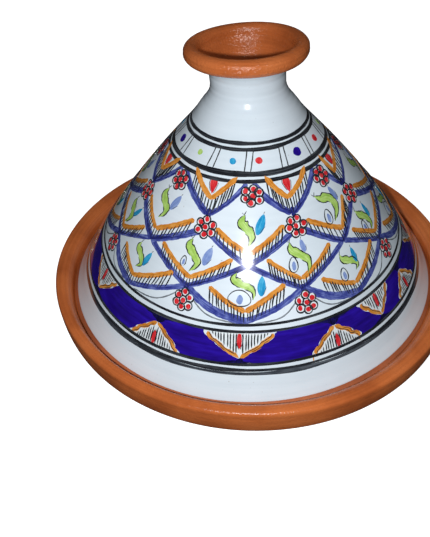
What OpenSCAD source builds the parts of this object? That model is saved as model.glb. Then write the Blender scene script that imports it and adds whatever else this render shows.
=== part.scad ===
// Tagine pot: a thrown clay dish with a gallery rim and a conical lid that sits in it.
// Millimetres, +Z up, the foot ring stands on Z = 0 and the axis of both pieces is Z.

/* [Dish] */

// Outer diameter of the rim
rim_d = 313; // [240:1:380]
// Height of the rim's crest above the table
rim_h = 58; // [45:0.1:70]
// Width of the rim band, outer face to gallery wall
rim_w = 10.7; // [8:0.1:20]
// Height of the gallery ledge that carries the lid
ledge_z = 44.7; // [35:0.1:50]
// Width of the gallery ledge
ledge_w = 11.5; // [8:0.5:20]
// Height of the inside floor above the table
bowl_floor_z = 11.5; // [9:0.5:20]
// Diameter of the flat part of the inside floor
bowl_flat_d = 120; // [60:1:160]
// Outer diameter of the foot ring at the table
foot_d = 173; // [120:1:200]
// Width of the foot ring's resting face
foot_w = 7.5; // [5:0.5:15]
// Depth of the hollow inside the foot ring
foot_h = 5; // [2:0.5:8]

/* [Lid] */

// Diameter of the lid at its edge
lid_d = 289.2; // [220:0.1:340]
// How far the edge flares out past the line of the cone
edge_flare = 3.2; // [0.5:0.1:6]
// Height above the table at which the cone's own line starts
lid_edge_z = 48.5; // [40:0.1:60]
// Radius of the cone at mid height
belly_r = 81.1; // [60:0.1:100]
// Height at which that radius is taken
belly_z = 131; // [110:1:150]
// Diameter of the waist under the cup
waist_d = 49.6; // [40:0.1:70]
// Height of the waist
waist_z = 201; // [180:1:220]
// Thickness of the cone wall, measured level
lid_wall = 7.5; // [5:0.5:12]
// Thickness of the clay that closes the cone's apex
apex_t = 8; // [6:0.5:14]
// Gap under the lid's edge at rest
seat_gap = 0.3; // [0.3:0.1:1]

/* [Cup] */

// Outer diameter of the cup's rolled lip
lip_d = 79; // [60:1:110]
// Diameter of the roll of the lip
lip_t = 9.6; // [6:0.1:14]
// Overall height, table to the top of the lip
total_h = 226.5; // [200:0.5:260]
// Diameter of the cup's floor
cup_floor_d = 34; // [16:1:40]

/* [Glaze] */

// Thickness of the glaze coats, measured level
coat = 0.5; // [0.3:0.1:0.8]
// Share of the lid's flared edge left bare
bare = 0.23; // [0.05:0.01:0.6]

/* [Hidden] */

seg = 144;
clay = [0.72, 0.41, 0.24];
white = [0.88, 0.91, 0.93];

// point at t on a smooth curve with end points a, d and handles b, c
function bez(a, b, c, d, t) =
  a * pow(1 - t, 3) + b * 3 * t * pow(1 - t, 2) + c * 3 * t * t * (1 - t) + d * pow(t, 3);
// n + 1 points of that curve from t0 to t1
function curve(a, b, c, d, n, t0 = 0, t1 = 1) =
  [for (i = [0 : n]) bez(a, b, c, d, t0 + (t1 - t0) * i / n)];
// points of an arc about c from angle a0 to a1
function arc(c, r, a0, a1, n) =
  [for (i = [0 : n]) let (a = a0 + (a1 - a0) * i / n) c + r * [cos(a), sin(a)]];
function moved(pts, by) = [for (p = pts) p + by];
function reversed(pts) = [for (i = [len(pts) - 1 : -1 : 0]) pts[i]];

// dish
rim_r = rim_d / 2;
gallery_r = rim_r - rim_w;
ledge_r = gallery_r - ledge_w;
foot_r = foot_d / 2;
under = curve([foot_r + 3.5, 6], [foot_r + 31.5, 9], [rim_r - 13, 27], [rim_r - 1.7, 35.8], 12);
roll = curve([rim_r - 1.7, 35.8], [rim_r + 0.37, 37.5], [rim_r + 0.27, rim_h - 12],
             [rim_r - 0.53, rim_h - 5.6], 8);
crest = concat(curve([rim_r - 0.53, rim_h - 5.6], [rim_r - 0.8, rim_h - 2.1],
                     [rim_r - 3.2, rim_h], [rim_r - 5.4, rim_h], 5),
               tail(curve([rim_r - 5.4, rim_h], [rim_r - 7.6, rim_h],
                          [gallery_r + 1.6, rim_h - 2.4], [gallery_r + 0.6, rim_h - 5.2], 5)));
bowl = curve([ledge_r, ledge_z - 1], [ledge_r - 3, 28], [105, bowl_floor_z],
             [bowl_flat_d / 2, bowl_floor_z], 12);

// lid: the finished outside is two curves that meet at the belly
cone_r = lid_d / 2 - edge_flare;
lower = [[cone_r, lid_edge_z], [cone_r - 11, lid_edge_z + 22],
         [belly_r + 24.1, belly_z - 28], [belly_r, belly_z]];
upper = [[belly_r, belly_z], [belly_r - 33.6, belly_z + 41],
         [waist_d / 2, waist_z - 14], [waist_d / 2, waist_z]];
hip_t = 0.16;
hip = bez(lower[0], lower[1], lower[2], lower[3], hip_t);
join_t = 0.75;
dome_t = 0.44;
join = bez(upper[0], upper[1], upper[2], upper[3], join_t);
dome = bez(upper[0], upper[1], upper[2], upper[3], dome_t) - [lid_wall, 0];
apex_z = join[1] - apex_t;
edge_z = ledge_z + seat_gap;

function low(n, t0 = 0, t1 = 1) = curve(lower[0], lower[1], lower[2], lower[3], n, t0, t1);
function high(n, t0 = 0, t1 = 1) = curve(upper[0], upper[1], upper[2], upper[3], n, t0, t1);
function tail(pts) = [for (i = [1 : len(pts) - 1]) pts[i]];

function skirt(n, t0, t1) =
  curve([lid_d / 2, edge_z + 2.6], [lid_d / 2 - 3, edge_z + 5.4], hip + [2.4, -4.2], hip, n, t0, t1);

bare_edge = skirt(2, 0, bare);
cone_skin = concat(skirt(6, bare, 1), tail(low(10, hip_t, 1)), tail(high(9, 0, join_t)));
cone_lining = concat(moved(low(12), [-lid_wall, 0]),
                     tail(moved(high(5, 0, dome_t), [-lid_wall, 0])),
                     tail(curve(dome, dome + [-5.4, 6], [12, apex_z], [0, apex_z], 8)));

// cup
lip_c = [lip_d / 2 - lip_t / 2, total_h - lip_t / 2];
crease = lip_c + lip_t / 2 * [cos(240), sin(240)];
flare = curve([waist_d / 2, waist_z + 4], [waist_d / 2, waist_z + 10],
              crease + [-3.6, -2.8], crease, 8);
neck_skin = concat(high(4, join_t, 1), flare);
cup_lining = curve(lip_c - [lip_t / 2, 0], lip_c - [lip_t / 2, 8],
                   [cup_floor_d / 2 + 2, waist_z + 5], [cup_floor_d / 2, join[1]], 10);

module turned(outline) {
  rotate_extrude($fn = seg) polygon(outline);
}

module dish_body() {
  color(clay)
    turned(concat(
      [[0, foot_h], [foot_r - foot_w - 2, foot_h], [foot_r - foot_w - 1, 1], [foot_r - foot_w, 0]],
      [[foot_r, 0], [foot_r + 1, 1]],
      under, tail(roll), tail(crest),
      [[gallery_r, rim_h - 6.8], [gallery_r, ledge_z + 1], [gallery_r - 1, ledge_z]],
      [[ledge_r + 1, ledge_z]],
      bowl, [[0, bowl_floor_z]]));
}

module dish_glaze() {
  n = len(bowl) - 1;
  coated = [for (i = [0 : n]) bowl[i] + coat * [-(1 - i / n), i / n]];
  color(white)
    turned(concat([[0, bowl_floor_z]], reversed(bowl), coated, [[0, bowl_floor_z + coat]]));
}

module lid_cone() {
  color(clay)
    turned(concat(
      [[cone_r - lid_wall + 1, edge_z], [lid_d / 2 - 1.6, edge_z]],
      [[lid_d / 2 - 0.3, edge_z + 1]],
      bare_edge, moved(cone_skin, [-coat, 0]),
      [[0, join[1]]], reversed(cone_lining)));
}

module lid_collar() {
  color(clay)
    turned(concat(
      moved(neck_skin, [-coat, 0]),
      arc(lip_c, lip_t / 2, 240, 540, 20),
      tail(cup_lining)));
}

module lid_glaze() {
  skin = concat(cone_skin, tail(neck_skin));
  color(white)
    turned(concat(skin, reversed(moved(skin, [-coat, 0]))));
}

dish_body();
dish_glaze();
lid_cone();
lid_collar();
lid_glaze();
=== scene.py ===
"""Tagine pot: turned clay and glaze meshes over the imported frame, with the painted bands laid on the lid as
thin closed strips of paint. Lengths below are millimetres until a mesh is written; angles on the lid are
degrees from the front (-Y), growing towards +X."""

import math
import random

import bmesh
import bpy
import numpy as np
from mathutils import Matrix, Vector


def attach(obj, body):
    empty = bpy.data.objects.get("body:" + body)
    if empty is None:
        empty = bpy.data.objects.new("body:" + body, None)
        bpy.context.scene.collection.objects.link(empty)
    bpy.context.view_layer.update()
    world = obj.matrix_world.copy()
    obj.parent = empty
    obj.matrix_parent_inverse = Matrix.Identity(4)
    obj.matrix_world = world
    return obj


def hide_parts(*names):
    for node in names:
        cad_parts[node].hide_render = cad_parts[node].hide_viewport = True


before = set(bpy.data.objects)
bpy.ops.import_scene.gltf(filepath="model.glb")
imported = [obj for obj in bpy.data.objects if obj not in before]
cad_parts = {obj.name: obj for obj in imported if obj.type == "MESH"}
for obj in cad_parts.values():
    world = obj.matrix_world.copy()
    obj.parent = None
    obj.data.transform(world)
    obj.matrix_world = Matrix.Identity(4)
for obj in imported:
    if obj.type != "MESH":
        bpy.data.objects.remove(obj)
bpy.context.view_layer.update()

MM = 0.001
rng = random.Random(11)
TURN = 384

# ---------------------------------------------------------------- outline of the lid


def bez(a, b, c, d, n, t0=0.0, t1=1.0):
    t = np.linspace(t0, t1, n + 1)[:, None]
    a, b, c, d = (np.array(p, float) for p in (a, b, c, d))
    return a * (1 - t) ** 3 + 3 * b * t * (1 - t) ** 2 + 3 * c * t * t * (1 - t) + d * t**3


def arc(c, r, a0, a1, n):
    a = np.radians(np.linspace(a0, a1, n + 1))
    return np.stack([c[0] + r * np.cos(a), c[1] + r * np.sin(a)], -1)


# the lid follows the CAD source, with a larger BARE: more of the flared edge is left without glaze
LID_R, CONE_R, CONE_Z = 144.6, 141.4, 48.5
BELLY_R, BELLY_Z = 81.1, 131.0
WAIST_R, WAIST_Z = 24.8, 201.0
LOWER = [(CONE_R, CONE_Z), (CONE_R - 11, CONE_Z + 22), (BELLY_R + 24.1, BELLY_Z - 28), (BELLY_R, BELLY_Z)]
UPPER = [(BELLY_R, BELLY_Z), (BELLY_R - 33.6, BELLY_Z + 41), (WAIST_R, WAIST_Z - 14), (WAIST_R, WAIST_Z)]
LIP_C, LIP_R = np.array([34.7, 221.7]), 4.8
CREASE = LIP_C + LIP_R * np.array([math.cos(math.radians(240)), math.sin(math.radians(240))])
FLARE = [(WAIST_R, WAIST_Z + 4), (WAIST_R, WAIST_Z + 10), tuple(CREASE + (-3.6, -2.8)), tuple(CREASE)]
BARE, HIP, JOIN, DOME, WALL, COAT = 0.26, 0.16, 0.75, 0.44, 7.5, 0.5
JOIN_P = bez(*UPPER, 1, JOIN, JOIN)[0]
EDGE_Z, APEX_Z = 45.0, JOIN_P[1] - 8.0
hip = bez(*LOWER, 1, HIP, HIP)[0]
SKIRT = [(LID_R, EDGE_Z + 2.6), (LID_R - 3, EDGE_Z + 5.4), tuple(hip + (2.4, -4.2)), tuple(hip)]

above = [bez(*LOWER, 60, HIP, 1)[1:], bez(*UPPER, 70)[1:], bez(*FLARE, 20)]
skin = np.concatenate([bez(*SKIRT, 16, BARE, 1), *above])
full = np.concatenate([bez(*SKIRT, 24), *above])
flank = np.gradient(full[:, 0], full[:, 1])


def radius(z):
    return np.interp(z, full[:, 1], full[:, 0])


def slope(z):
    return np.interp(z, full[:, 1], flank)


def smooth(x, a, b):
    t = np.clip((x - a) / (b - a), 0, 1)
    return t * t * (3 - 2 * t)


# ---------------------------------------------------------------- the hand of the potter


def lid_warp(p):
    """The thrown lid is slightly oval and ridged by the fingers, and its cup is a little askew."""
    x, y, z = p[:, 0].copy(), p[:, 1].copy(), p[:, 2].copy()
    a = np.arctan2(x, -y)
    free = smooth(z, 56, 90)
    r = np.hypot(x, y)
    g = 1 + free * (0.0030 * np.cos(2 * a + 0.7) + 0.0018 * np.cos(3 * a - 0.4))
    rings = 0.055 * np.sin(z * 1.75) + 0.035 * np.sin(z * 0.93 + a)
    rings = rings * smooth(z, 182, 187) * (r > 20)
    near = z - 1.5 * np.sin(a)
    rings = rings - 0.062 * np.sin(0.546 * (near - 125.3)) * np.exp(-(((near - 118) / 8) ** 2)) * free
    rings = rings + 0.14 * np.exp(-(((near - 130) / 5) ** 2))
    rings = rings + 1.15 * np.exp(-(((z - 185.8) / 6.2) ** 2)) * (r > 20)
    g = g + rings / np.maximum(r, 5)
    x, y = x * g, y * g
    up = smooth(z, 184, 224)
    lift = up * (0.0253 * x - 0.0290 * y) + up * 0.25 * np.cos(2 * a + 2.0) * np.minimum(r / 39, 1)
    return np.stack([x - 1.0 * up, y, z + lift], -1)


def dish_warp(p):
    """The dish's rim is out of round, tilted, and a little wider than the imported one."""
    x, y, z = p[:, 0].copy(), p[:, 1].copy(), p[:, 2].copy()
    a = np.arctan2(x, -y)
    r = np.hypot(x, y)
    free = smooth(z, 20, 34) * smooth(r, 146, 151)
    g = 1 - free * (0.0092 * np.cos(a + 0.61) + 0.0088 * np.cos(2 * a + 1.22) + 0.0010 * np.cos(3 * a + 1.0))
    g = g + free * (0.0105 - 0.003 * np.cos(a)) + 0.0085 * smooth(z, 34, 60) * smooth(r, 148, 155)
    under = smooth(r, 92, 100) * smooth(-z, -36, -30) * smooth(z, 4, 9)
    g = g + under * 0.0012 * np.sin(r * 1.3)
    top = smooth(z, 47, 54) * smooth(r, 144, 147)
    z = z + top * (0.35 * np.cos(2 * a + 1.2) + 0.2 * np.cos(5 * a) - 1.6 * np.cos(a - 0.87))
    return np.stack([x * g, y * g, z], -1)


# ---------------------------------------------------------------- mesh helpers


def make(name, verts, faces, mat, body, replaces, sharp, brush=None):
    """One piece. Paint brings brush coordinates, and its faces already point the right way."""
    me = bpy.data.meshes.new(name)
    faces = faces if isinstance(faces, list) else faces.tolist()
    me.from_pydata((np.asarray(verts) * MM).tolist(), [], faces)
    if brush is None:
        bm = bmesh.new()
        bm.from_mesh(me)
        bmesh.ops.recalc_face_normals(bm, faces=bm.faces)
        bm.to_mesh(me)
        bm.free()
    else:
        layer = me.attributes.new("brush", "FLOAT_VECTOR", "POINT")
        layer.data.foreach_set("vector", np.asarray(brush, np.float32).ravel())
    me.shade_smooth()
    me.set_sharp_from_angle(angle=math.radians(sharp))
    me.materials.append(mat)
    ob = bpy.data.objects.new(name, me)
    bpy.context.scene.collection.objects.link(ob)
    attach(ob, body)
    for node in replaces:
        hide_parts(node)
    return ob


def lathe(outline, ring, warp):
    """A closed turned mesh. outline is a ring, or runs from the axis to the axis."""
    n = TURN
    th = np.linspace(0, 2 * math.pi, n, endpoint=False)
    pts = np.asarray(outline, float)
    body = pts if ring else pts[1:-1]
    m = len(body)
    x = body[:, :1] * np.sin(th)
    y = -body[:, :1] * np.cos(th)
    z = np.repeat(body[:, 1:], n, 1)
    verts = np.stack([x, y, z], -1).reshape(-1, 3)
    i = np.arange(m if ring else m - 1)[:, None]
    j = np.arange(n)[None, :]
    a, b = i * n + j, i * n + (j + 1) % n
    c, d = ((i + 1) % m) * n + (j + 1) % n, ((i + 1) % m) * n + j
    faces = np.stack([a, b, c, d], -1).reshape(-1, 4).tolist()
    if not ring:
        verts = np.concatenate([verts, [[0, 0, pts[0, 1]], [0, 0, pts[-1, 1]]]])
        lo, hi, last = m * n, m * n + 1, (m - 1) * n
        faces += [[lo, (k + 1) % n, k] for k in range(n)]
        faces += [[hi, last + k, last + (k + 1) % n] for k in range(n)]
    return warp(verts), faces


# ---------------------------------------------------------------- materials


def lin(r, g, b):
    """sRGB 0-255 to linear."""
    out = []
    for v in (r, g, b):
        v = v / 255
        out.append(v / 12.92 if v <= 0.04045 else ((v + 0.055) / 1.055) ** 2.4)
    return (*out, 1.0)


class Nodes:
    def __init__(self, name):
        self.mat = bpy.data.materials.new(name)
        self.mat.use_nodes = True
        self.t = self.mat.node_tree
        self.t.nodes.clear()
        self.out = self.add("ShaderNodeOutputMaterial")
        self.bsdf = self.add("ShaderNodeBsdfPrincipled")
        self.link(self.bsdf.outputs[0], self.out.inputs[0])

    def add(self, kind, **props):
        node = self.t.nodes.new(kind)
        for k, v in props.items():
            setattr(node, k, v)
        return node

    def link(self, a, b):
        self.t.links.new(a, b)

    def noise(self, coord, scale, detail=3.0, rough=0.55, stretch=None):
        if stretch is not None:
            m = self.add("ShaderNodeMapping")
            m.inputs["Scale"].default_value = stretch
            self.link(coord, m.inputs["Vector"])
            coord = m.outputs[0]
        n = self.add("ShaderNodeTexNoise")
        self.link(coord, n.inputs["Vector"])
        n.inputs["Scale"].default_value = scale
        n.inputs["Detail"].default_value = detail
        n.inputs["Roughness"].default_value = rough
        return n.outputs[0]

    def ramp(self, fac, stops):
        r = self.add("ShaderNodeValToRGB")
        while len(r.color_ramp.elements) < len(stops):
            r.color_ramp.elements.new(0.5)
        for e, (pos, col) in zip(r.color_ramp.elements, stops):
            e.position, e.color = pos, col
        self.link(fac, r.inputs[0])
        return r.outputs[0]

    def mix(self, fac, a, b, mode="MIX"):
        m = self.add("ShaderNodeMix", data_type="RGBA", blend_type=mode)
        if isinstance(fac, float):
            m.inputs[0].default_value = fac
        else:
            self.link(fac, m.inputs[0])
        for s, v in ((m.inputs[6], a), (m.inputs[7], b)):
            if isinstance(v, tuple):
                s.default_value = v
            else:
                self.link(v, s)
        return m.outputs[2]

    def bump(self, height, distance, strength=1.0, normal=None):
        b = self.add("ShaderNodeBump")
        b.inputs["Distance"].default_value = distance
        b.inputs["Strength"].default_value = strength
        self.link(height, b.inputs["Height"])
        if normal is not None:
            self.link(normal, b.inputs["Normal"])
        return b.outputs[0]

    def coord(self):
        return self.add("ShaderNodeTexCoord").outputs["Object"]

    def wheel(self):
        """Radius and height: what runs in circles on a turned pot."""
        p = self.coord()
        flat = self.add("ShaderNodeVectorMath", operation="MULTIPLY")
        flat.inputs[1].default_value = (1, 1, 0)
        self.link(p, flat.inputs[0])
        r = self.add("ShaderNodeVectorMath", operation="LENGTH")
        self.link(flat.outputs["Vector"], r.inputs[0])
        xyz = self.add("ShaderNodeSeparateXYZ")
        self.link(p, xyz.inputs[0])
        out = self.add("ShaderNodeCombineXYZ")
        self.link(r.outputs["Value"], out.inputs[0])
        self.link(self.noise(p, 5, 1), out.inputs[1])
        self.link(xyz.outputs[2], out.inputs[2])
        return out.outputs[0]

    def attr(self, name):
        return self.add("ShaderNodeAttribute", attribute_name=name).outputs["Vector"]

    def finish(self, color, rough, normal=None, **sockets):
        self.link(color, self.bsdf.inputs["Base Color"])
        self.bsdf.inputs["Roughness"].default_value = rough
        if normal is not None:
            self.link(normal, self.bsdf.inputs["Normal"])
        for k, v in sockets.items():
            self.bsdf.inputs[k.replace("_", " ")].default_value = v
        return self.mat


def clay(name, tones, rough, grain, shine=0.3, groove=0.00010):
    """Fired red clay: mottled tone, throwing rings, fine open grain."""
    n = Nodes(name)
    p = n.coord()
    big = n.noise(p, 22, 4)
    col = n.ramp(big, [(0.30, tones[0]), (0.52, tones[1]), (0.74, tones[2])])
    rings = n.noise(n.wheel(), 1.0, 3, 0.6, stretch=(620, 4, 620))
    col = n.mix(1.0, col, n.ramp(rings, [(0.34, (0.84, 0.82, 0.80, 1)), (0.66, (1, 1, 1, 1))]), "MULTIPLY")
    fine = n.noise(p, 1500, 2, 0.6)
    col = n.mix(n.ramp(fine, [(0.30, (0.7, 0.7, 0.7, 1)), (0.42, (0, 0, 0, 1))]), col, tones[0])
    nrm = n.bump(n.noise(n.wheel(), 1.0, 3, 0.7, stretch=(1100, 60, 1100)), groove, 1.0)
    nrm = n.bump(fine, grain, 1.0, nrm)
    nrm = n.bump(n.noise(p, 640, 2), grain * 3.2, 1.0, nrm)
    return n.finish(col, rough, nrm, Specular_IOR_Level=shine)


def white_glaze(name):
    n = Nodes(name)
    p = n.coord()
    col = n.ramp(n.noise(p, 14, 3), [(0.3, lin(214, 228, 238)), (0.7, lin(227, 238, 248))])
    rings = n.noise(n.wheel(), 1.0, 2, stretch=(260, 5, 260))
    shade = n.ramp(rings, [(0.36, (0.96, 0.965, 0.97, 1)), (0.60, (1, 1, 1, 1))])
    col = n.mix(1.0, col, shade, "MULTIPLY")
    speck = n.ramp(n.noise(p, 700, 1, 0.4), [(0.79, (0, 0, 0, 1)), (0.81, (1, 1, 1, 1))])
    col = n.mix(speck, col, lin(176, 178, 180))
    nrm = n.bump(n.noise(p, 55, 3), 0.00022, 0.35)
    nrm = n.bump(rings, 0.00010, 0.35, nrm)
    nrm = n.bump(n.noise(p, 900, 2), 0.000012, 0.6, nrm)
    return n.finish(col, 0.24, nrm, Specular_IOR_Level=0.18, Coat_Weight=1.0, Coat_Roughness=0.05,
                    Coat_IOR=1.45)


def paint(name, dark, mid, light, streak=(0.10, 1.5, 1.0), rough=0.14, spread=0.16):
    """Brushed glaze colour: streaks run along each stroke, from its own along/across coordinates."""
    n = Nodes(name)
    s = n.attr("brush")
    lines = n.noise(s, 1.0, 3, 0.6, stretch=streak)
    pool = n.noise(s, 0.22, 2)
    fac = n.mix(0.40, lines, pool)
    col = n.ramp(fac, [(0.5 - spread, dark), (0.5, mid), (0.5 + spread, light)])
    p = n.coord()
    nrm = n.bump(n.noise(p, 55, 3), 0.00022, 0.35)
    nrm = n.bump(lines, 0.00003, 0.6, nrm)
    return n.finish(col, rough, nrm, Specular_IOR_Level=0.3, Coat_Weight=1.0, Coat_Roughness=0.04,
                    Coat_IOR=1.5)


RIM = clay("clay_rim", (lin(180, 93, 46), lin(213, 117, 61), lin(225, 131, 74)), 0.22, 0.00009, 0.40, 0.00009)
CUP = clay("clay_cup", (lin(164, 85, 42), lin(197, 107, 56), lin(209, 121, 68)), 0.18, 0.00015, 0.50, 0.00022)
RAW = clay("clay_raw", (lin(160, 88, 54), lin(186, 108, 70), lin(202, 128, 88)), 0.72, 0.00009, 0.25)
WHITE = white_glaze("glaze_white")
MATS = {
    "black": paint("paint_black", lin(20, 22, 27), lin(38, 41, 47), lin(80, 85, 91)),
    "slate": paint("paint_slate", lin(36, 40, 47), lin(62, 68, 76), lin(100, 108, 116)),
    "grey": paint("paint_grey", lin(84, 92, 100), lin(112, 120, 128), lin(150, 158, 166)),
    "cobalt": paint("paint_cobalt", lin(22, 6, 88), lin(37, 13, 140), lin(50, 26, 186), (0.10, 0.30, 1),
                    0.12, 0.26),
    "navy": paint("paint_navy", lin(22, 26, 88), lin(38, 44, 120), lin(66, 76, 152)),
    "ink": paint("paint_ink", lin(10, 8, 36), lin(17, 14, 62), lin(32, 26, 104)),
    "periwinkle": paint("paint_periwinkle", lin(34, 42, 122), lin(70, 81, 158), lin(128, 144, 208)),
    "petal": paint("paint_petal", lin(98, 122, 188), lin(128, 152, 208), lin(160, 180, 224)),
    "ochre": paint("paint_ochre", lin(180, 104, 28), lin(216, 142, 56), lin(234, 172, 96)),
    "red": paint("paint_red", lin(180, 22, 32), lin(214, 44, 52), lin(232, 88, 90)),
    "lime": paint("paint_lime", lin(138, 186, 74), lin(170, 210, 104), lin(208, 236, 156)),
    "turquoise": paint("paint_turquoise", lin(18, 125, 182), lin(38, 154, 208), lin(88, 190, 228)),
    "white": paint("paint_white", lin(214, 224, 230), lin(226, 236, 242), lin(236, 242, 246)),
}
# the ochre that was brushed on after the black rings
MATS["ochre_late"] = MATS["ochre"]

# ---------------------------------------------------------------- clay and glaze bodies

# the dish follows the CAD source, with a squarer outer corner on the crest of the rim
RIM_R, RIM_H = 156.5, 58.0
GAL_R = RIM_R - 10.7
FACE_TOP, CREST = (RIM_R - 0.53, RIM_H - 5.6), (RIM_R - 5.4, RIM_H)
LEDGE_R, LEDGE_Z = GAL_R - 11.5, 44.7
FLAT_R, FLOOR_Z, FOOT_R = 60, 11.5, 86.5
bowl = bez((LEDGE_R, LEDGE_Z - 1), (LEDGE_R - 3, 28), (105, FLOOR_Z), (FLAT_R, FLOOR_Z), 60)


def fill(a, b, step):
    """Points from a towards b, b left out."""
    a, b = np.array(a, float), np.array(b, float)
    n = max(1, int(np.hypot(*(b - a)) / step))
    return [a + (b - a) * k / n for k in range(n)]


def chain(points, step):
    """Points along a run of straight edges, no more than about step apart."""
    out = []
    for a, b in zip(points, points[1:]):
        out += fill(a, b, step)
    return np.array(out + [np.array(points[-1], float)])


dish_outline = np.concatenate([
    chain([(0, 5), (FOOT_R - 9.5, 5)], 12),
    chain([(FOOT_R - 8.7, 4.4), (FOOT_R - 8.2, 0.7), (FOOT_R - 7.5, 0), (FOOT_R, 0), (FOOT_R + 0.9, 0.8),
           (FOOT_R + 1.8, 4.6)], 2.2),
    bez((FOOT_R + 3.5, 6), (FOOT_R + 31.5, 9), (RIM_R - 13, 27), (RIM_R - 1.7, 35.8), 50),
    bez((RIM_R - 1.7, 35.8), (RIM_R + 0.37, 37.5), (RIM_R + 0.27, RIM_H - 12), FACE_TOP, 20)[1:],
    bez(FACE_TOP, (RIM_R - 0.6, RIM_H - 0.7), (RIM_R - 1.3, RIM_H - 0.1), CREST, 14)[1:],
    bez(CREST, (RIM_R - 7.6, RIM_H), (GAL_R + 1.6, RIM_H - 2.4), (GAL_R + 0.6, RIM_H - 5.2), 10)[1:],
    chain([(GAL_R + 0.15, RIM_H - 6.2), (GAL_R, RIM_H - 7.2), (GAL_R, LEDGE_Z + 1.4),
           (GAL_R - 0.5, LEDGE_Z + 0.4), (GAL_R - 1.4, LEDGE_Z), (LEDGE_R + 1.2, LEDGE_Z),
           (LEDGE_R + 0.3, LEDGE_Z - 0.3)], 2.4),
    bowl,
    chain([(FLAT_R - 12, FLOOR_Z), (0, FLOOR_Z)], 12),
])
v, f = lathe(dish_outline, False, dish_warp)
make("dish_body_clay", v, f, RIM, "dish", ("dish_body",), 50)

k = np.linspace(1, 0, len(bowl))[:, None]
coated = bowl + COAT * np.concatenate([-k, 1 - k], 1)
under = bowl + 0.05 * np.concatenate([-k, 1 - k], 1)
glaze_outline = np.concatenate([
    chain([(0, FLOOR_Z + 0.05), (FLAT_R - 12, FLOOR_Z + 0.05)], 12), under[::-1],
    [(LEDGE_R - 0.25, LEDGE_Z - 0.82)], coated,
    chain([(FLAT_R - 12, FLOOR_Z + COAT), (0, FLOOR_Z + COAT)], 12)])
v, f = lathe(glaze_outline, False, dish_warp)
make("dish_bowl_glaze", v, f, WHITE, "dish", ("dish_glaze",), 50)

lining = np.concatenate([bez(*LOWER, 40), bez(*UPPER, 20, 0, DOME)[1:]]) - [WALL, 0]
dome = lining[-1]
lining = np.concatenate([lining, bez(dome, dome + [-5.4, 6], (12, APEX_Z), (0, APEX_Z), 14)[1:]])
cone_skin = skin[skin[:, 1] <= JOIN_P[1] + 0.01] - [COAT, 0]
edge = bez(*SKIRT, 6, 0, BARE)
cone_outline = np.concatenate([
    [(0, JOIN_P[1])], chain([(12.01, JOIN_P[1]), tuple(cone_skin[-1])], 8)[:-1], cone_skin[::-1],
    edge[::-1][1:],
    [(LID_R - 0.1, EDGE_Z + 1.5), (LID_R - 0.5, EDGE_Z + 0.6), (LID_R - 1.1, EDGE_Z + 0.1),
     (LID_R - 2, EDGE_Z)],
    chain([(LID_R - 2, EDGE_Z), (CONE_R - 6.2, EDGE_Z)], 2)[1:],
    [(CONE_R - 7, EDGE_Z + 0.2), (CONE_R - 7.4, EDGE_Z + 1)], lining[1:]])
v, f = lathe(cone_outline, False, lid_warp)
make("lid_cone_clay", v, f, RAW, "lid", ("lid_cone",), 50)

neck = np.concatenate([bez(*UPPER, 20, JOIN, 1), bez(*FLARE, 20)])
cup_in = bez((LIP_C[0] - LIP_R, LIP_C[1]), (LIP_C[0] - LIP_R, LIP_C[1] - 8), (19, 206), (17, JOIN_P[1]), 30)
lip = arc(LIP_C, LIP_R, 240, 540, 36)
# the roll of the lip is slightly fuller on its outer lower side
full_lip = 0.13 * np.sin(np.clip(np.radians(np.linspace(0, 300, 37) * 1.5), 0, math.pi))[:, None]
lip = lip + (lip - LIP_C) * full_lip
collar_outline = np.concatenate([neck - [COAT, 0], lip, cup_in[1:]])
v, f = lathe(collar_outline, True, lid_warp)
make("lid_collar_clay", v, f, CUP, "lid", ("lid_collar",), 50)

rim_bead = np.array([(-0.42, -0.55), (-0.1, -0.5), (0.06, -0.25)]) + skin[0]
glaze_ring = np.concatenate([rim_bead, skin, (skin - [0.45, 0])[::-1][::3]])
v, f = lathe(glaze_ring, True, lid_warp)
make("lid_glaze_coat", v, f, WHITE, "lid", ("lid_glaze",), 50)

# ---------------------------------------------------------------- paint on the lid

# how far each colour stands above the glaze, so that a later stroke covers an earlier one
HEIGHT = {"cobalt": 0.05, "grey": 0.06, "slate": 0.07, "periwinkle": 0.075, "petal": 0.075, "navy": 0.09,
          "ink": 0.10, "white": 0.095, "ochre": 0.11, "ochre_late": 0.165, "lime": 0.10, "turquoise": 0.10,
          "red": 0.13, "black": 0.14}


def deg(mm, z):
    return mm / (radius(z) * math.pi / 180)


def dz(mm, z):
    return mm / np.sqrt(1 + slope(z) ** 2)


def place(th, z, x, y):
    """The chart point x mm right of and y mm up the lid from (th, z)."""
    return th + deg(x, z), z + dz(y, z)


def on_lid(th, z, h):
    s = slope(z)
    c = 1 / np.sqrt(1 + s * s)
    r = radius(z) + h * c
    t = np.radians(th)
    return np.stack([r * np.sin(t), -r * np.cos(t), z + h * c * -s], -1)


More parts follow.
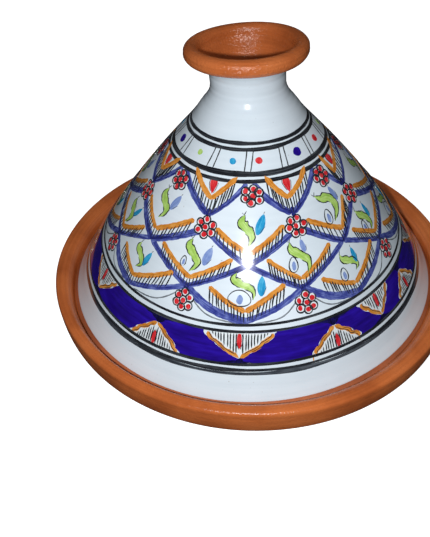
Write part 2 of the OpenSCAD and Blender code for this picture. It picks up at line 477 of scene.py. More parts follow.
class Paint:
    def __init__(self, h):
        self.h, self.v, self.f, self.a, self.n = h, [], [], [], 0

    def strip(self, c, left, right, m=2, closed=False):
        """A closed thin strip of paint along chart points c, left and right mm to each side."""
        c = np.asarray(c, float)
        n = len(c)
        th, z = c[:, 0], c[:, 1]
        per = radius(z) * math.pi / 180
        k = np.sqrt(1 + slope(z) ** 2)
        if closed:
            dth = (np.roll(th, -1) - np.roll(th, 1) + 180) % 360 - 180
            dzz = np.roll(z, -1) - np.roll(z, 1)
        else:
            dth, dzz = np.gradient(th), np.gradient(z)
        tx, ty = dth * per, dzz * k
        size = np.hypot(tx, ty) + 1e-9
        nx, ny = -ty / size, tx / size
        step = np.hypot(tx, ty)
        along = np.concatenate([[0], np.cumsum((step[1:] + step[:-1]) / 2)])
        off = -right[:, None] + (left + right)[:, None] * np.linspace(0, 1, m + 1)
        tht = th[:, None] + off * nx[:, None] / per[:, None]
        zt = z[:, None] + off * ny[:, None] / k[:, None]
        h = self.h + rng.uniform(0, 0.014)
        top = on_lid(tht.ravel(), zt.ravel(), h)
        bot = on_lid(tht.ravel(), zt.ravel(), -0.08)
        w = m + 1
        i = np.arange(n if closed else n - 1)[:, None]
        j = np.arange(m)[None, :]
        ii = (i + 1) % n
        a, b, cc, d = i * w + j, ii * w + j, ii * w + j + 1, i * w + j + 1
        quads = np.stack([a, b, cc, d], -1).reshape(-1, 4)
        sheet = n * w
        faces = [quads, quads[:, ::-1] + sheet]
        i, ii = i[:, 0], ii[:, 0]
        faces.append(np.stack([ii * w, i * w, i * w + sheet, ii * w + sheet], -1))
        faces.append(np.stack([i * w + m, ii * w + m, ii * w + m + sheet, i * w + m + sheet], -1))
        if not closed:
            j = j[0]
            faces.append(np.stack([j, j + 1, j + 1 + sheet, j + sheet], -1))
            e = (n - 1) * w
            faces.append(np.stack([e + j + 1, e + j, e + j + sheet, e + j + 1 + sheet], -1))
        self.f.append(np.concatenate(faces) + self.n)
        self.v += [top, bot]
        seed = rng.uniform(0, 400)
        # the long bands round the lid have longer streaks
        if along[-1] > 300:
            along = along * 0.16
        at = np.stack([np.repeat(along + seed, w), off.ravel() + seed * 0.37, np.full(sheet, seed)], -1)
        self.a += [at, at]
        self.n += 2 * sheet


paints = {k: Paint(h) for k, h in HEIGHT.items()}


def wave(n, amount, length, u=None):
    """Slow random waviness for n points, about amount high."""
    u = np.arange(n) if u is None else u
    out = np.zeros(n)
    for q in (1.0, 2.3):
        out += amount / q * np.sin(u / length * q * 2 * math.pi + rng.uniform(0, 6.3))
    return out * 0.6


def path(points, step=1.1):
    """Chart points along a smooth curve through points, about step mm apart."""
    p = np.array(points, float)
    if len(p) > 2:
        ts = np.linspace(0, len(p) - 1, 12 * len(p))
        out = []
        for c in (0, 1):
            m = np.gradient(p[:, c])
            i = np.minimum(ts.astype(int), len(p) - 2)
            s = ts - i
            out.append((2 * s**3 - 3 * s**2 + 1) * p[i, c] + (s**3 - 2 * s**2 + s) * m[i]
                       + (-2 * s**3 + 3 * s**2) * p[i + 1, c] + (s**3 - s**2) * m[i + 1])
        p = np.stack(out, -1)
    d = np.diff(p, axis=0)
    zm = (p[1:, 1] + p[:-1, 1]) / 2
    mm = np.hypot(d[:, 0] * radius(zm) * math.pi / 180, d[:, 1] * np.sqrt(1 + slope(zm) ** 2))
    s = np.concatenate([[0], np.cumsum(mm)])
    n = max(4, int(s[-1] / step) + 1)
    q = np.linspace(0, s[-1], n)
    return np.stack([np.interp(q, s, p[:, 0]), np.interp(q, s, p[:, 1])], -1), q


def stroke(colour, points, w, ends=("round", "round"), rough=0.10, m=3, step=1.1):
    """One brush stroke w mm wide. An end is round, or a number: the mm over which it tapers to a point."""
    c, s = path(points, step)
    n = len(c)
    hw = np.full(n, w / 2) * (1 + wave(n, rough, 9, s))
    for e, d in ((ends[0], s), (ends[1], s[-1] - s)):
        if e == "round":
            q = np.clip(d / (w * 0.55), 0, 1)
            hw *= np.sqrt(np.clip(1 - (1 - q) ** 2, 0.02, 1))
        elif e:
            hw *= np.clip(d / e, 0.04, 1) ** 0.75
    a = wave(n, rough * w * 0.3, 5, s)
    paints[colour].strip(c, np.maximum(hw + a, 0.03), np.maximum(hw - a, 0.03), m)


def bowed(a, b, bow):
    """a to b with the middle pushed bow mm to the left of the way."""
    a, b = np.array(a, float), np.array(b, float)
    m = (a + b) / 2
    per, k = float(radius(m[1])) * math.pi / 180, float(np.sqrt(1 + slope(m[1]) ** 2))
    t = (b - a) * [per, k]
    t = t / np.hypot(*t)
    return [a, m + np.array([-t[1] * bow / per, t[0] * bow / k]), b]


def ring(colour, z, w, wob=0.25, m=2, rough=0.12):
    """A line or band brushed right round the lid while it turns."""
    th = np.linspace(-180, 180, 480, endpoint=False)
    t = np.radians(th)
    zz, hw = np.full(480, float(z)), np.full(480, w / 2)
    for q in (1, 2, 3, 5, 9):
        zz += wob / q**0.7 * 0.5 * np.sin(q * t + rng.uniform(0, 6.3))
        hw *= 1 + rough * 0.4 * np.sin((q * 2 + 1) * t + rng.uniform(0, 6.3))
    paints[colour].strip(np.stack([th, zz], -1), hw, hw, m, closed=True)


def blob(colour, th, z, rx, ry, m, turn=0.0, drop=0.0):
    """A filled oval, or with drop > 0 a drop with its point up."""
    n = max(7, int(2 * ry / 0.55))
    u = np.linspace(-1, 1, n)
    u = np.sin(u * math.pi / 2)
    hw = np.sqrt(np.clip(1 - u * u, 0.003, 1)) * rx
    if drop:
        hw *= 1 - drop * np.clip((u + 1) / 2, 0, 1) ** 1.2
    x, y = u * ry * math.sin(turn), u * ry * math.cos(turn)
    c = np.stack(place(th, z, x, y), -1)
    e = wave(n, 0.10 * rx, 5)
    paints[colour].strip(c, np.maximum(hw + e, 0.03), np.maximum(hw - e, 0.03), m)


def loop(colour, th, z, rx, ry, w, a0, a1, turn=0.0, drop=0.0):
    """An outline round such an oval, from the angle a0 to a1."""
    n = max(14, int((rx + ry) * abs(a1 - a0) / 360 * 3.4 / 0.7))
    a = np.radians(np.linspace(a0, a1, n))
    y = np.sin(a) * ry
    x = np.cos(a) * rx * (1 - drop * np.clip((np.sin(a) + 1) / 2, 0, 1) ** 1.2)
    ca, sa = math.cos(turn), math.sin(turn)
    c = np.stack(place(th, z, x * ca + y * sa, -x * sa + y * ca), -1)
    hw = w / 2 * (1 + wave(n, 0.35, n / 2.2))
    hw = np.maximum(hw, 0.1)
    whole = abs(a1 - a0) >= 359
    if whole:
        c, hw = c[:-1], hw[:-1]
    else:
        t = np.linspace(0, 1, n)
        hw = hw * np.clip(np.minimum(t, 1 - t) * 8, 0.2, 1)
    paints[colour].strip(c, hw, hw, 1, closed=whole)


def jig(a):
    return rng.uniform(-a, a)


# bands and lines
ring("black", 177.3, 2.5, 0.35)
ring("black", 174.5, 2.6, 0.3)
ring("black", 163.2, 3.4, 0.3)
ring("black", 160.0, 2.5, 0.3)
ring("black", 91.7, 1.8, 0.35)
ring("cobalt", 79.0, 21.6, 0.15, m=14, rough=0.01)
ring("black", 87.9, 1.9, 0.3)
ring("black", 70.6, 2.0, 0.3)
ring("black", 67.2, 2.2, 0.5, rough=0.25)
ring("slate", 65.6, 2.4, 0.5, rough=0.3)

# panels under the neck
dividers = [-60, -29, -1, 26, 53] + [81 + 27.6 * i + jig(1.5) for i in range(8)]
for t in dividers:
    for side in (-1, 1):
        x = t + side * 2.2 + jig(0.4)
        lean = 0.9 + jig(0.8)
        stroke("black", [(x - lean, 163.9), (x, 169.5), (x + lean, 174.9 + jig(0.4))], 0.7, (1.5, 2), 0.2, 1)
spots = [("cobalt", -71, 3.0), ("lime", -43, 1.9), ("turquoise", -13.5, 2.1), ("red", 6.5, 2.3),
         ("cobalt", 39.5, 3.1), ("red", 65.5, 2.5)]
for i, colour in enumerate(("lime", "turquoise", "red", "cobalt", "red", "lime", "turquoise")):
    spots.append((colour, 94.5 + 27.6 * i, 2.3 + jig(0.4)))
for colour, t, r in spots:
    blob(colour, t, 169.2 + jig(0.4), r, r * (0.98 + jig(0.06)), 6)

# the net: node angles at five heights, columns A between columns B
NET = {
    "a0": [-49, -0.5, 47, 91, 135, 180, 225, 267],
    "b1": [-22.5, 21.5, 61.5, 113, 158, 202, 247, 291],
    "a2": [-48, -2, 41.5, 87, 134, 180, 226, 268],
    "b3": [-25, 18, 61.5, 111, 157, 203, 246, 290],
    "a4": [-49, -3, 38.5, 86, 133, 179, 225, 268],
}


def node(level, i):
    row = NET[level]
    return row[i % 8] + 360 * (i // 8)


def hatch(p0, p1, q0, q1, n):
    """Short black strokes down from the ochre line p0 p1 to the blue stroke q0 q1 and over it."""
    for i in range(n):
        u = (i + 0.5 + jig(0.17)) / n
        a = (p0[0] + (p1[0] - p0[0]) * u, p0[1] + (p1[1] - p0[1]) * u)
        lean = (1.1 if p1[0] > p0[0] else -2.4) + jig(0.5)
        t = a[0] + deg(lean, a[1]) * min(1, (1 - u) * 2.2)
        w = min(max((t - q0[0]) / (q1[0] - q0[0]), 0), 1)
        b = (t, q0[1] + (q1[1] - q0[1]) * w - 0.2 + jig(0.7))
        a = (a[0], a[1] - 0.5 + jig(0.4))
        mid = ((a[0] + b[0]) / 2 + jig(0.25), (a[1] + b[1]) / 2)
        stroke("black", [a, mid, b], 0.88 + jig(0.14), (0.5, 3.4), 0.15, 1, 1.3)


def vee(left, tip, right, w, colour="ochre"):
    """The ochre chevron inside a cell."""
    for end, s in ((left, 1), (right, -1)):
        ends = (3, "round") if colour == "ochre_late" else ("round", "round")
        stroke(colour, bowed(end, tip, s * jig(0.5) + s * -0.3), w + jig(0.3), ends, 0.12)
    if rng.random() < 0.6:
        stroke(colour, [place(*tip, -0.9, 2.2), place(*tip, 0.2, -0.9)], w * 0.9, ("round", "round"), 0.15)


def limbs(a, b, w, bow=0.0, dark=0.0):
    """One blue stroke of the net; dark is how much of its end at b is gone over a second time."""
    line = bowed(a, b, bow + jig(0.4))
    stroke("periwinkle", line, w * 0.95, ("round", "round"), 0.08, 5)
    if rng.random() < 0.4:
        stroke("periwinkle", bowed(a, b, bow + jig(0.9)), w * 0.5, ("round", 6), 0.12, 2)
    if dark:
        c, s = path(line)
        near = [c[int((len(c) - 1) * q)] for q in (1 - dark - jig(0.1), 1 - dark / 2, 1.0)]
        off = jig(0.5)
        stroke("navy", [place(*q, off, 0) for q in near], w * (0.42 + jig(0.12)), (7, "round"), 0.3, 3)
        near = [c[int((len(c) - 1) * q)] for q in (0.12, 0.4 + jig(0.1), 0.75 + jig(0.1))]
        stroke("navy", [place(*q, w * 0.22 + off, 0) for q in near], 0.55, (3, 4), 0.25, 1)


def cluster(t, z, spread, turn=None):
    """Seven red berries in white and black rings: one, and six round it."""
    turn = rng.uniform(0, 60) if turn is None else turn
    berries = [(0.0, 0.0)]
    for i in range(6):
        a = math.radians(60 * i + turn + jig(7))
        r = spread * (1 + jig(0.07))
        berries.append((r * math.cos(a), r * math.sin(a) * 0.98))
    for x, y in berries:
        tt, zz = place(t, z, x, y)
        big = 2.6 + jig(0.22)
        blob("white", tt, zz, big, big, 4)
        loop("black", tt, zz, big, big, 0.92, rng.uniform(0, 90), rng.uniform(0, 90) + 400)
        tt, zz = place(tt, zz, jig(0.35), jig(0.35))
        blob("red", tt, zz, 1.66 + jig(0.2), 1.78 + jig(0.2), 4)


LEAF_W = [0.15, 1.5, 2.9, 3.2, 2.4, 2.8, 2.3, 1.5, 0.8, 0.1]


def leaf(spine, width):
    """A brushed leaf along chart points, its dark outline with breaks, and its stalk."""
    c, s = path(spine, 0.8)
    u = s / s[-1]
    hw = np.interp(u, np.linspace(0, 1, len(LEAF_W)), LEAF_W) * width * (1 + wave(len(c), 0.10, 6, s))
    lw = hw * (1 + wave(len(c), 0.16, 5, s))
    paints["lime"].strip(c, lw, hw * 0.92, 5)
    per = radius(c[:, 1]) * math.pi / 180
    k = np.sqrt(1 + slope(c[:, 1]) ** 2)
    tx, ty = np.gradient(c[:, 0]) * per, np.gradient(c[:, 1]) * k
    size = np.hypot(tx, ty)
    for side, lo, hi in ((1, 0.0, 0.93), (-1, 0.02, 0.46), (-1, 0.5, 1.0)):
        keep = (u >= lo + jig(0.03)) & (u <= hi)
        o = (lw + 0.12) if side > 0 else -(hw * 0.92 + 0.12)
        line = np.stack([c[:, 0] - ty / size * o / per, c[:, 1] + tx / size * o / k], -1)[keep]
        if len(line) > 3:
            n = len(line)
            taper = np.clip(np.minimum(np.arange(n), np.arange(n)[::-1]) / 2, 0.3, 1)
            w = 0.36 * (1 + wave(n, 0.4, 8)) * taper
            paints["black"].strip(line, np.maximum(w, 0.1), np.maximum(w, 0.1), 1)
    a = spine[0]
    stroke("black", [place(*a, -0.6, -0.6), place(*a, 0.36, 1.3), place(*a, 1.2, 2.6)], 0.6, (1, 2), 0.2, 1)
    if rng.random() < 0.6:
        stroke("black", [place(*a, -0.5, 0.1), place(*a, -1.9, 1.5 + jig(0.5))], 0.5, (1, 1.5), 0.2, 1)


def petal(colour, t, z, length, width, turn):
    """A pointed petal, leaning turn radians to the right, with two short dark lines."""
    a = place(t, z, -math.sin(turn) * length / 2, -math.cos(turn) * length / 2)
    b = place(t, z, math.sin(turn) * length / 2, math.cos(turn) * length / 2)
    c, s = path([a, ((a[0] + b[0]) / 2 + jig(0.1), (a[1] + b[1]) / 2), b], 0.8)
    u = s / s[-1]
    hw = width / 2 * np.sin(np.clip(u, 0.01, 0.99) ** 0.85 * math.pi) ** 0.6
    paints[colour].strip(c, np.maximum(hw, 0.05), np.maximum(hw * 0.95, 0.05), 5)
    stroke("black", [place(*b, -0.2, 0.2), place(*b, 0.5 + jig(0.4), 1.8)], 0.42, (0.5, 1), 0.2, 1)
    side = width / 2 + 0.3
    stroke("black", [place(*a, side * 0.5, 0.8), place(t, z, side * math.cos(turn), -side * math.sin(turn))],
           0.36, (1, 2), 0.2, 1)


def bud(t, z, rx, ry):
    """A drop of pale blue inside a loose dark ring."""
    blob("petal", *place(t, z, 0.2, -0.18 * ry), min(rx * 0.46, 2.2), ry * 0.60, 5, 0.1, 0.2)
    stroke("periwinkle", [place(t, z, 0.5, ry * 0.2), place(t, z, 0.4, -ry * 0.55)], 0.8, (1, 1), 0.2, 2)
    loop("black", t, z, rx, ry, 0.66, -70 + jig(20), 282, 0.1, 0.3)


# what stands in each cell: leaf spine, petals (colour, dx, z, length, width, turn), buds (dx, z, rx, ry);
# dx is in degrees from the cell's middle
ROW1 = [
    ([(-4, 147), (-4.5, 143.4), (-2, 140.4), (1, 137.8), (1.2, 135), (-1.2, 131.6)],
     [("petal", 5.5, 142.6, 12.0, 5.2, 0.42)], []),
    ([(-1.8, 145), (-3.4, 141.6), (-1.4, 138.6), (1.0, 136), (1.4, 133), (-0.6, 129.4)],
     [("turquoise", 5.8, 140.0, 13.5, 5.6, 0.38)], []),
    ([(-7.4, 147), (-4.0, 144.6), (0.2, 143.2), (2.6, 140.2), (2.2, 136), (-1.6, 131.2)],
     [("petal", 5.4, 143.4, 11.0, 4.4, -0.22)], [(-4.4, 134.8, 3.4, 5.0)]),
]
ROW2 = [
    ([(-3.2, 130.2), (-3.8, 126.6), (-1.0, 123), (1.0, 120), (1.2, 117.4), (-1.4, 113.8)],
     [("petal", 5.4, 123.2, 12.5, 5.6, 0.30)], [(-4.6, 118.2, 2.2, 3.4)]),
    ([(-3.4, 129.6), (-3.2, 126.4), (-0.2, 123.4), (2.6, 120.6), (3.6, 117.2), (2.2, 113.2)],
     [("petal", 2.6, 126.8, 8.5, 3.6, -0.1)], [(-3.2, 118.8, 3.3, 4.9)]),
    ([(-4.6, 128.6), (-3.4, 125.2), (-0.6, 122.4), (1.0, 119.4), (1.2, 116.8), (-1.0, 113.6)],
     [("turquoise", 3.4, 123.4, 11.5, 4.2, -0.05)], [(-4.0, 117.8, 3.2, 4.7)]),
    ([(-3.2, 128.4), (-2.8, 125.2), (-0.4, 122.2), (1.2, 119.6), (0.4, 116.4), (-1.2, 113.8)],
     [("turquoise", 4.4, 124.2, 12.0, 4.0, 0.55)], []),
]
ROW3 = [
    ([(-3.2, 115.6), (-3.6, 112.8), (-1.0, 110.2), (1.2, 107.8), (1.4, 105.4), (-0.6, 102.8)],
     [("turquoise", 3.6, 110.0, 11.5, 4.6, 0.36)], []),
    ([(-3.6, 117.2), (-4.2, 114.2), (-1.6, 112), (1.4, 110.4), (3.2, 107.4), (2.6, 104.2)],
     [("turquoise", 6.0, 110.6, 12.5, 5.4, 0.12)], [(-2.0, 104.8, 8.2, 5.1)]),
    ([(-2.6, 115.4), (-2.4, 112.8), (0.2, 110.6), (2.8, 108.6), (3.6, 106.2), (1.8, 103.6)],
     [("turquoise", 3.8, 111.4, 10.5, 4.0, 0.0)], [(-4.0, 105.4, 3.3, 4.4)]),
]
PICK1 = [0, 1, 2, 0, 1, 2, 1, 0]
PICK2 = [0, 1, 2, 3, 0, 1, 2, 3]
PICK3 = [0, 1, 2, 1, 0, 2, 1, 0]


def cell(t, recipe, width=1.0):
    """The leaf, petals and bud inside a cell."""
    spine, petals, buds = recipe
    for dx, z, rx, ry in buds:
        bud(t + dx, z + jig(0.3), rx, ry)
    leaf([(t + dx + jig(0.25), z + jig(0.25)) for dx, z in spine], width)
    for colour, dx, z, length, w, turn in petals:
        petal(colour, t + dx, z, length, w, turn + jig(0.06))


for i in range(8):
    a0, a0n = node("a0", i), node("a0", i + 1)
    b1, b1p = node("b1", i), node("b1", i - 1)
    a2, a2n = node("a2", i), node("a2", i + 1)
    b3, b3p = node("b3", i), node("b3", i - 1)
    a4 = node("a4", i)

    # strokes of the net, top to bottom
    limbs((a0 + 1.6, 159.2), (b1 - 0.5, 143.0), 4.4 + jig(0.4), -0.6, 0.3)
    limbs((a0n - 1.8, 159.4), (b1 + 0.5, 143.0), (3.0 if i % 2 == 0 else 4.2) + jig(0.3), 0.4, 0.3)
    stroke("navy", [(b1, 146.2), (b1 + 0.3, 140.6)], 3.6 + jig(0.8), ("round", "round"), 0.15, 4)
    width, dark = (4.0, 0.2) if i == 1 else (5.0, 0.4)
    limbs((b1 - 1.5, 135.2), (a2 - 0.5, 120.2), width + jig(0.4), 0, dark)
    width, dark = (3.8, 0.2) if i == 0 else (4.8, 0.4)
    limbs((b1 + 1.5, 135.2), (a2n + 0.5, 120.2), width + jig(0.4), 0, dark)
    limbs((a2, 121.0), (b3 + 0.4, 106.4), 4.3 + jig(0.5), 0.5, 0.25)
    limbs((a2n, 121.0), (b3 - 0.4, 106.4), 3.9 + jig(0.4), -0.5, 0.3)
    limbs((b3, 106.8), (node("a4", i + 1) + 0.4, 93.2), 5.3 + jig(0.4), -2.6)
    limbs((b3, 106.8), (a4 - 0.4, 93.2), 4.1 + jig(0.4), 0.9)
    stroke("periwinkle", [(a4, 95.6), (a4 + 0.1, 91.2)], 3.8, ("round", 3.5), 0.1, 4)
    stroke("navy", [(b3, 108.8), (b3 + 0.2, 104.6)], 3.4 + jig(0.8), ("round", "round"), 0.2, 4)

    # grey scallop under the lowest strokes
    for side, end in ((1, node("a4", i + 1)), (-1, a4)):
        s0 = (b3 + side * 1.0, 104.4)
        s1 = (end - side * 3.0, 92.3)
        stroke("grey", bowed(s0, s1, -side * (5.2 + jig(1.2))), 0.9, (2, 3), 0.2, 1)
    # half cells under the double line
    tip = (b1 - 0.6, 150.6)
    left, right = (a0 + 8.9 + jig(0.8), 162.3 + jig(0.4)), (a0n - 7.9 + jig(0.8), 162.3 + jig(0.4))
    vee(left, tip, right, 3.3, "ochre_late")
    hatch(left, tip, (a0 + 1.6, 159.2), (b1, 143.0), 8)
    hatch(right, tip, (a0n - 1.8, 159.4), (b1, 143.0), 8)
    sx = (a0 + a0n) / 2 + (b1 - (a0 + a0n) / 2) * 0.6 + jig(0.4)
    c, s = path([(sx, 160.0), (sx + 0.1, 156.5), (sx + 0.4, 152.9)], 0.7)
    u = s / s[-1]
    hw = 2.6 * np.interp(u, [0, 0.12, 0.35, 0.7, 1], [0.55, 0.85, 1.0, 0.6, 0.04])
    paints["red"].strip(c, hw, hw, 6)
    for side, part, thin in ((-1, slice(None, -2), 0.2), (1, slice(3, -1), 0.16)):
        beside = np.stack([c[:, 0] + side * deg(hw + 0.45, c[:, 1]), c[:, 1]], -1)[part]
        thin = np.full(len(beside), thin)
        paints["black"].strip(beside, thin, thin, 1)

    # row 1, centred on A
    tip = ((a0 + a2) / 2 + 0.2, 126.2)
    left, right = (b1p + 5.4 + jig(0.6), 137.6 + jig(0.8)), (b1 - 6.0 + jig(0.6), 139.2 + jig(0.8))
    vee(left, tip, right, 3.5)
    hatch(left, tip, (b1p + 1.5, 135.2), (a2, 120.2), 9)
    hatch(right, tip, (b1 - 1.5, 135.2), (a2, 120.2), 10)
    cell((a0 + a2) / 2 - 0.3, ROW1[PICK1[i]])
    cluster(a0 + 1.2, 153.6, 4.7)

    # row 2, centred on B
    tip = (b3 + 0.4, 111.2)
    left, right = (a2 + 7.0 + jig(0.8), 123.0 + jig(0.6)), (a2n - 6.2 + jig(0.8), 123.4 + jig(0.6))
    vee(left, tip, right, 3.3)
    hatch(left, tip, (a2, 121.0), (b3, 106.4), 12)
    hatch(right, tip, (a2n, 121.0), (b3, 106.4), 12)
    cell((b1 + b3) / 2 - 0.3, ROW2[PICK2[i]], 0.95)
    cluster(b1, 136.8, 5.0)

    # row 3, centred on A
    tip = ((a2 + a4) / 2 * 0.3 + a4 * 0.7, 98.2)
    left, right = (b3p + 8.2 + jig(0.8), 108.6 + jig(0.5)), (b3 - 6.4 + jig(0.8), 110.6 + jig(0.5))
    vee(left, tip, right, 3.5)
    hatch(left, tip, (b3p, 106.8), (a4, 92.8), 12)
    hatch(right, tip, (b3, 106.8), (a4, 92.8), 12)
    cell((a2 + a4) / 2 - 0.4, ROW3[PICK3[i]], 0.86)
    cluster(b3 + 0.2, 99.4, 5.1, 30)


def medallion(t, hang, half):
    """A white wedge in the cobalt band, point down when hang, else point up, with a wavy ochre border."""
    z0, z1 = (87.4, 74.0) if hang else (71.0, 83.6)
    tall = z1 - z0
    turn = 1 if hang else -1
    n = 34
    down = np.linspace(0, 1, n)
    z = z0 + tall * down
    phase = (rng.uniform(0, 1), rng.uniform(0, 1))

    def edge(q, side):
        lob = np.abs(np.sin((q * 2.6 + phase[side > 0]) * math.pi))
        return half * (1 - q ** 1.3) + 2.3 * lob * np.clip(1 - q, 0, 1) ** 0.4 + 0.8

    c = np.stack([np.full(n, float(t)), z], -1)
    paints["white"].strip(c, edge(down, -1), edge(down, 1), 14)
    for s in (-1, 1):
        q = np.linspace(0.04, 0.97, 9)
        e = edge(q, s) - 2.1
        pts = [place(t, z0 + tall * v, s * max(x, 0.2), 0) for v, x in zip(q, e)]
        stroke("ochre", pts, 2.7 + jig(0.2), ("round", 2), 0.22, 3)
        stroke("black", [place(*p, -s * 1.1, 0) for p in pts[:-1]], 0.5, (1, 2), 0.2, 1)
        if rng.random() < 0.7:
            stroke("black", [place(*p, s * (1.3 + jig(0.5)), 0) for p in pts[2:7]], 0.42, (2, 2), 0.2, 1)
    m = int(half / 1.9)
    for i in range(-m, m + 1):
        x = i * 1.95 + jig(0.22)
        reach = (1 - (abs(x) + 2.4) / half) ** 0.8 if abs(x) + 2.4 < half else 0
        if i == 0 or reach < 0.08:
            continue
        a = place(t, z0, x, 0)
        b = (t + deg(x, z0) * 0.95, z0 + tall * min(0.9, reach) * (0.98 + jig(0.05)))
        middle = ((a[0] + b[0]) / 2 + jig(0.08), (a[1] + b[1]) / 2)
        stroke("black", [a, middle, b], 0.86, (0.5, 1.5), 0.2, 1, 1.6)
    c, s = path([(t, z0 + tall * 0.02), (t + jig(0.1), z0 + tall * 0.30), (t, z0 + tall * 0.62)], 0.8)
    u = s / s[-1]
    hw = 1.6 * np.interp(u, [0, 0.2, 0.5, 0.8, 1], [0.55, 0.9, 1, 0.75, 0.05])
    paints["white"].strip(c, hw + 0.5, hw + 0.5, 3)
    paints["red"].strip(c, hw, hw, 3)
    for s in (-1, 1):
        pts = [place(t, z0 + tall * q, s * w, 0) for q, w in ((0.02, 1.4), (0.30, 2.2), (0.66, 0.3))]
        stroke("black", pts, 0.46, (0.5, 1), 0.2, 1)
    # the brush goes over the tip once more, out to the edge of the band
    end = 70.2 if hang else 88.4
    stroke("ink", [(t, z1 + turn * 0.2), (t + jig(0.2), (z1 + end) / 2), (t, end)], 9.5 + jig(1.5),
           (3, "round"), 0.25, 5)
    for s in (-1, 1):
        pts = [place(t, end + turn * 1.5, s * 1.0, 0), place(t, end + turn * 0.8, s * (13.0 + jig(3)), 0)]
        stroke("ink", pts, 3.0, ("round", 10), 0.2, 2)


wedges = [(-63, True, 17.5), (-31.8, False, 18.4), (-4.5, True, 21.6), (25.6, False, 17.4), (44, True, 14.5),
          (61.5, False, 14.5)]
for i in range(8):
    wedges.append((86.5 + 26.4 * i + jig(2.5), i % 2 == 0, 16.5 + jig(2.0)))
for t, hang, half in wedges:
    medallion(t, hang, half)
    if not hang:
        for s in (-1, 1):
            pts = [place(t, 71.6, s * (half - 1.2), 0), place(t, 69.4 + jig(0.5), s * (half - 0.9), 0)]
            stroke("ochre", pts, 0.9, ("round", 1.5), 0.2, 2)
stroke("ochre", [(17.4, 72.5), (17.0, 70.0), (16.9, 67.2)], 0.8, ("round", 2), 0.2, 2)

for name, p in paints.items():
    v = lid_warp(np.concatenate(p.v))
    make("lid_paint_" + name, v, np.concatenate(p.f), MATS[name], "lid", (), 35,
         np.concatenate(p.a))

# ---------------------------------------------------------------- floor, light and camera


def stage_material(name, colour, glow):
    """Pale floor. Part of its light is its own, so that it stays even; reflections see a dimmer floor."""
    mat = bpy.data.materials.new(name)
    mat.use_nodes = True
    t = mat.node_tree
    t.nodes.clear()
    out = t.nodes.new("ShaderNodeOutputMaterial")
    add = t.nodes.new("ShaderNodeAddShader")
    dif = t.nodes.new("ShaderNodeBsdfDiffuse")
    dim = t.nodes.new("ShaderNodeBsdfDiffuse")
    dark = t.nodes.new("ShaderNodeBsdfDiffuse")
    gloss = t.nodes.new("ShaderNodeMixShader")
    em = t.nodes.new("ShaderNodeEmission")
    pick = t.nodes.new("ShaderNodeMixShader")
    dif.inputs[0].default_value = colour
    dim.inputs[0].default_value = (0.12, 0.12, 0.12, 1)
    dark.inputs[0].default_value = (0.03, 0.03, 0.03, 1)
    em.inputs[0].default_value = (1, 1, 1, 1)
    em.inputs[1].default_value = glow
    ray = t.nodes.new("ShaderNodeLightPath")
    t.links.new(dif.outputs[0], add.inputs[0])
    t.links.new(em.outputs[0], add.inputs[1])
    t.links.new(ray.outputs["Is Camera Ray"], pick.inputs[0])
    t.links.new(ray.outputs["Is Glossy Ray"], gloss.inputs[0])
    t.links.new(dim.outputs[0], gloss.inputs[1])
    t.links.new(dark.outputs[0], gloss.inputs[2])
    t.links.new(gloss.outputs[0], pick.inputs[1])
    t.links.new(add.outputs[0], pick.inputs[2])
    t.links.new(pick.outputs[0], out.inputs[0])
    return mat


me = bpy.data.meshes.new("floor")
me.from_pydata([(-6, -4, 0), (6, -4, 0), (6, 9, 0), (-6, 9, 0)], [], [(0, 1, 2, 3)])
me.materials.append(stage_material("floor_pale", (0.86, 0.86, 0.86, 1), 0.93))
floor = bpy.data.objects.new("floor", me)
bpy.context.scene.collection.objects.link(floor)

world = bpy.data.worlds.new("studio")
bpy.context.scene.world = world
world.use_nodes = True
t = world.node_tree
t.nodes.clear()
out = t.nodes.new("ShaderNodeOutputWorld")


def background(strength):
    node = t.nodes.new("ShaderNodeBackground")
    node.inputs[0].default_value, node.inputs[1].default_value = (1, 1, 1, 1), strength
    return node


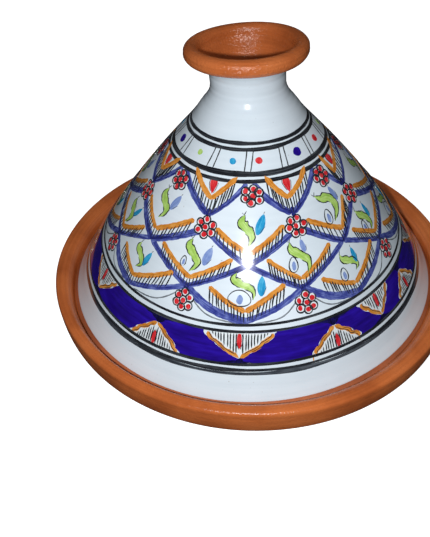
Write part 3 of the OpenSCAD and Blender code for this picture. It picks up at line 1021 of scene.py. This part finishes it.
# some light on everything, very little of it in reflections, and plain white past the edge of the floor
ambient, mirrored, seen = background(0.20), background(0.02), background(1.0)
ray = t.nodes.new("ShaderNodeLightPath")
lit = t.nodes.new("ShaderNodeMixShader")
sky = t.nodes.new("ShaderNodeMixShader")
t.links.new(ray.outputs["Is Glossy Ray"], lit.inputs[0])
t.links.new(ambient.outputs[0], lit.inputs[1])
t.links.new(mirrored.outputs[0], lit.inputs[2])
t.links.new(ray.outputs["Is Camera Ray"], sky.inputs[0])
t.links.new(lit.outputs[0], sky.inputs[1])
t.links.new(seen.outputs[0], sky.inputs[2])
t.links.new(sky.outputs[0], out.inputs[0])

EYE = Vector((0.0, -0.3422, 0.3474))
PITCH, ROLL = math.radians(42.63), math.radians(1.27)
fwd = Vector((0, math.cos(PITCH), -math.sin(PITCH)))
right = Vector((1, 0, 0))
up = right.cross(fwd)
cx = math.cos(ROLL) * right - math.sin(ROLL) * up
cy = math.sin(ROLL) * right + math.cos(ROLL) * up
cam = bpy.data.objects.new("camera", bpy.data.cameras.new("camera"))
bpy.context.scene.collection.objects.link(cam)
cam.matrix_world = Matrix((
    (cx.x, cy.x, -fwd.x, EYE.x), (cx.y, cy.y, -fwd.y, EYE.y), (cx.z, cy.z, -fwd.z, EYE.z), (0, 0, 0, 1)))
cam.data.sensor_width = 36.0
cam.data.lens = 36.449162
cam.data.shift_x = -0.0706
cam.data.shift_y = 0.0067
cam.data.clip_start, cam.data.clip_end = 0.01, 50
bpy.context.scene.camera = cam


def lamp(name, at, towards, power, size):
    """A round area lamp; size is its diameter in metres."""
    data = bpy.data.lights.new(name, "AREA")
    data.energy = power
    data.shape = "DISK"
    data.size = size
    ob = bpy.data.objects.new(name, data)
    bpy.context.scene.collection.objects.link(ob)
    ob.location = at
    ob.rotation_mode = "QUATERNION"
    ob.rotation_quaternion = (Vector(towards) - Vector(at)).to_track_quat("-Z", "Y")
    return ob


# a small flash close to the camera, and a large soft lamp behind that shows in no reflection
lamp("flash", EYE + Vector((-0.025, 0, 0)) - 0.017 * up, (0, 0, 0.11), 1.15, 0.014)
lamp("back", (0, 2.3, 0.45), (0, 0, 0.08), 18, 1.4).visible_glossy = False

bpy.context.scene.view_settings.view_transform = "Standard"
bpy.context.scene.view_settings.look = "None"
